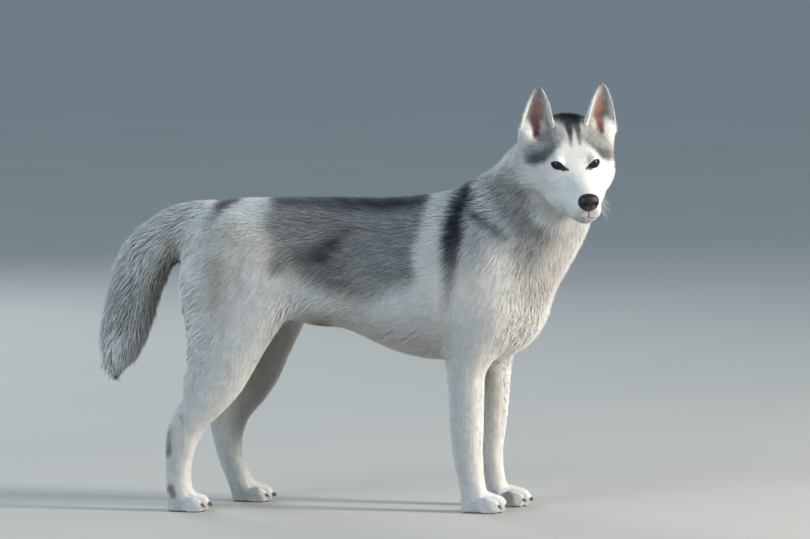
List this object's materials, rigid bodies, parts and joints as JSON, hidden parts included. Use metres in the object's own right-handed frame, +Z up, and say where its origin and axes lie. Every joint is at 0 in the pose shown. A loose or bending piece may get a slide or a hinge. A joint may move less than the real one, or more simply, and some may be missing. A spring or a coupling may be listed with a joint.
{
  "type": "standing siberian husky model",
  "caption": "Still, life-size model of a standing Siberian husky with its head turned to its right and its tail hanging.",
  "frame": {"origin": "on the floor, under the middle of the model's box", "axes": "+X toward the dog's front, +Y toward its left, +Z up"},
  "size_m": [0.9556, 0.3506, 0.7856],
  "materials": {
    "coat": "matte",
    "eye": "gloss",
    "nose": "satin",
    "claw": "satin"
  },
  "bodies": {
    "root": {"head": "coat", "neck": "coat", "trunk": "coat", "tail": "coat", "foreleg_left": "coat", "foreleg_right": "coat", "hindleg_left": "coat", "hindleg_right": "coat", "forepaw_left": "coat", "forepaw_right": "coat", "hindpaw_left": "coat", "hindpaw_right": "coat", "ear_left": "coat", "ear_right": "coat", "eye_left": "eye", "eye_right": "eye", "nose": "nose", "claw_fore_left_1": "claw", "claw_fore_left_2": "claw", "claw_fore_left_3": "claw", "claw_fore_left_4": "claw", "claw_fore_right_1": "claw", "claw_fore_right_2": "claw", "claw_fore_right_3": "claw", "claw_fore_right_4": "claw", "claw_hind_left_1": "claw", "claw_hind_left_2": "claw", "claw_hind_left_3": "claw", "claw_hind_left_4": "claw", "claw_hind_right_1": "claw", "claw_hind_right_2": "claw", "claw_hind_right_3": "claw", "claw_hind_right_4": "claw"}
  },
  "joints": []
}
